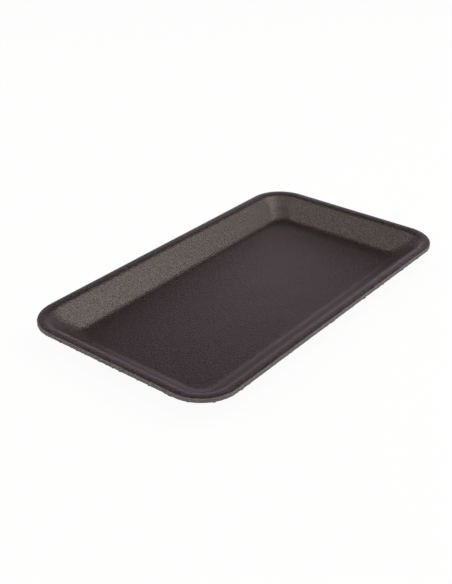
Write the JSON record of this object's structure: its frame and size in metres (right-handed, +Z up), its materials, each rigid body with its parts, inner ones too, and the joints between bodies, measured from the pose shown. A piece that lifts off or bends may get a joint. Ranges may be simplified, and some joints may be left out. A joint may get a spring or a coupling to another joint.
{
  "type": "foam meat tray",
  "caption": "Shallow rectangular foam meat tray, thermoformed as one sheet, with rounded corners, sloping walls, a rolled lip and a plain cut edge.",
  "frame": {"origin": "under the middle of the floor, in the plane of the flat underside", "axes": "+X along the tray's length, +Y across its width, +Z up out of the open side"},
  "size_m": [0.2096, 0.118, 0.0143],
  "materials": {
    "foam": "satin skin with fine cell grain"
  },
  "bodies": {
    "root": {"foam_tray": "foam"}
  },
  "joints": []
}
